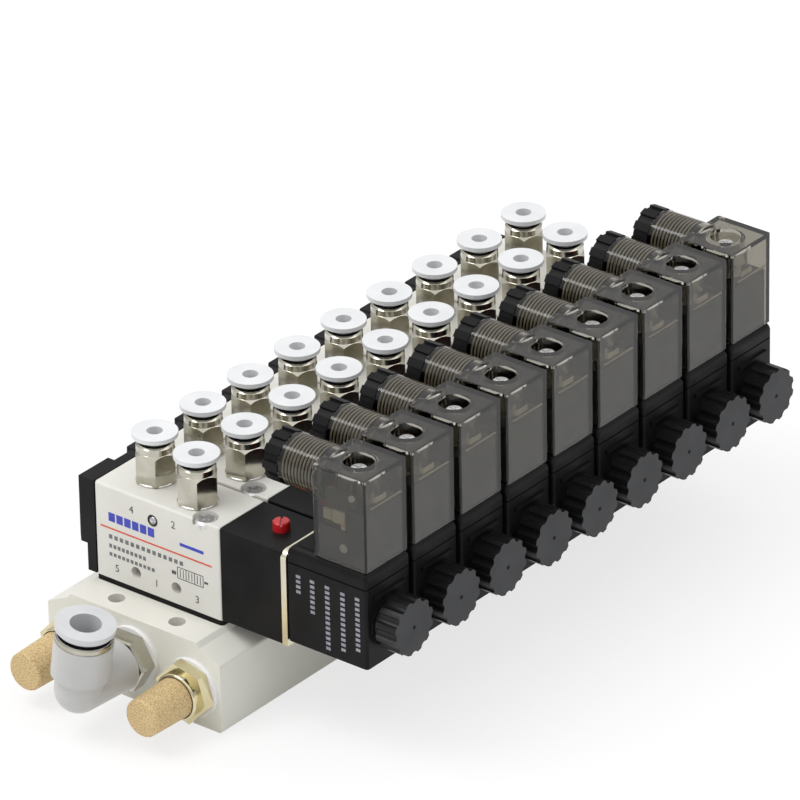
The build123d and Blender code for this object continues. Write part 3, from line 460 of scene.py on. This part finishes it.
portNumbers = {"size": 3.0, "spots": {"4": (-8.4, 47.7), "2": (5.4, 47.8), "5": (-13.8, 28.8),
                                      "1": (-0.7, 28.9), "3": (12.7, 28.7)}}
numberObjects = []
for figure, (x, z) in portNumbers["spots"].items():
    text = bpy.data.curves.new("figure" + figure, "FONT")
    text.body = figure
    text.size = portNumbers["size"] * mm
    text.align_x = "CENTER"
    text.align_y = "CENTER"
    holder = bpy.data.objects.new("figure" + figure, text)
    bpy.context.scene.collection.objects.link(holder)
    numberObjects.append((holder, x, z))
bpy.context.view_layer.update()
bm = bmesh.new()
for holder, x, z in numberObjects:
    flat = bpy.data.meshes.new_from_object(holder)
    for y in stationY:
        start = len(bm.verts)
        bm.from_mesh(flat)
        bm.verts.ensure_lookup_table()
        spot = place(x, y - row["width"] / 2 - 2 * printing["lift"], z, turn=(90, 0, 0))
        bmesh.ops.transform(bm, matrix=spot, verts=bm.verts[start:])
    bpy.data.meshes.remove(flat)
    bpy.data.objects.remove(holder)
newPiece("portNumbers", bm, "island", "darkInk")

coilColumns = {"face": 8.75, "wide": 1.4, "high": 0.85, "step": 1.45,
               "columns": [(45.8, 47.3, 4), (50.3, 47.3, 7), (55.1, 47.3, 13), (60.0, 47.1, 12),
                           (64.7, 47.2, 11)]}
marks = [(x, top - (k + 0.5) * coilColumns["step"], coilColumns["wide"], coilColumns["high"])
         for x, top, count in coilColumns["columns"] for k in range(count)]
bm = bmesh.new()
sideMarks(bm, marks, coilColumns["face"])
newPiece("coilLines", bm, "island", "paleInk")
print("printed marks")


# Floor, light and camera
studio = {"floor": 6.0, "paper": (0.9, 0.9, 0.9, 1), "paperGlow": 0.72,
          "top": 1.12, "horizon": 0.4, "topFrom": 0.8, "aim": (0.02, 0, 0.04),
          "lamps": [("keyLight", (-0.4, -0.55, 1.15), 6.0, 0.6),
                    ("fillLight", (0.9, 0.3, 0.9), 1.6, 0.8)]}


def paleFloor():
    # Paper that looks nearly white to the camera and in reflections, and keeps the shadow
    mesh = bpy.data.meshes.new("floor")
    plane = bmesh.new()
    bmesh.ops.create_grid(plane, x_segments=1, y_segments=1, size=studio["floor"])
    plane.to_mesh(mesh)
    plane.free()
    floor = bpy.data.objects.new("floor", mesh)
    bpy.context.scene.collection.objects.link(floor)
    mat = bpy.data.materials.new("floorPaper")
    mat.use_nodes = True
    tree = mat.node_tree
    out = tree.nodes["Material Output"]
    shader = tree.nodes["Principled BSDF"]
    shader.inputs["Base Color"].default_value = studio["paper"]
    shader.inputs["Roughness"].default_value = 0.9
    glow = tree.nodes.new("ShaderNodeEmission")
    glow.inputs["Strength"].default_value = 1.0
    seen = tree.nodes.new("ShaderNodeLightPath")
    either = tree.nodes.new("ShaderNodeMath")
    either.operation = "MAXIMUM"
    third = tree.nodes.new("ShaderNodeMath")
    third.operation = "MAXIMUM"
    share = tree.nodes.new("ShaderNodeMath")
    share.operation = "MULTIPLY"
    share.inputs[1].default_value = studio["paperGlow"]
    mix = tree.nodes.new("ShaderNodeMixShader")
    tree.links.new(seen.outputs["Is Camera Ray"], either.inputs[0])
    tree.links.new(seen.outputs["Is Glossy Ray"], either.inputs[1])
    tree.links.new(either.outputs[0], third.inputs[0])
    tree.links.new(seen.outputs["Is Transmission Ray"], third.inputs[1])
    tree.links.new(third.outputs[0], share.inputs[0])
    tree.links.new(share.outputs[0], mix.inputs["Fac"])
    tree.links.new(shader.outputs[0], mix.inputs[1])
    tree.links.new(glow.outputs[0], mix.inputs[2])
    tree.links.new(mix.outputs[0], out.inputs["Surface"])
    mesh.materials.append(mat)


def paleWorld():
    # Light from above, falling off towards the horizon
    world = bpy.data.worlds.new("studio")
    bpy.context.scene.world = world
    world.use_nodes = True
    tree = world.node_tree
    background = tree.nodes["Background"]
    background.inputs["Color"].default_value = (1, 1, 1, 1)
    coords = tree.nodes.new("ShaderNodeTexCoord")
    parts = tree.nodes.new("ShaderNodeSeparateXYZ")
    rise = tree.nodes.new("ShaderNodeMapRange")
    rise.inputs["From Max"].default_value = studio["topFrom"]
    rise.inputs["To Min"].default_value = studio["horizon"]
    rise.inputs["To Max"].default_value = studio["top"]
    tree.links.new(coords.outputs["Generated"], parts.inputs["Vector"])
    tree.links.new(parts.outputs["Z"], rise.inputs["Value"])
    tree.links.new(rise.outputs["Result"], background.inputs["Strength"])


def areaLight(name, spot, power, size):
    data = bpy.data.lights.new(name, "AREA")
    data.energy = power
    data.size = size
    lamp = bpy.data.objects.new(name, data)
    lamp.location = spot
    lamp.rotation_euler = (Vector(studio["aim"]) - Vector(spot)).to_track_quat("-Z", "Y").to_euler()
    bpy.context.scene.collection.objects.link(lamp)


paleFloor()
paleWorld()
for name, spot, power, size in studio["lamps"]:
    areaLight(name, spot, power, size)

cameraView = {"spot": (1.18616, -1.44812, 1.04922), "turn": (61.7895, 0.9284, 38.5671),
              "lens": 368.32, "clipEnd": 50}
camData = bpy.data.cameras.new("camera")
camData.lens = cameraView["lens"]
camData.clip_end = cameraView["clipEnd"]
camera = bpy.data.objects.new("camera", camData)
camera.location = cameraView["spot"]
camera.rotation_euler = [radians(a) for a in cameraView["turn"]]
bpy.context.scene.collection.objects.link(camera)
bpy.context.scene.camera = camera
bpy.context.scene.view_settings.view_transform = "Standard"
print("floor, light and camera")
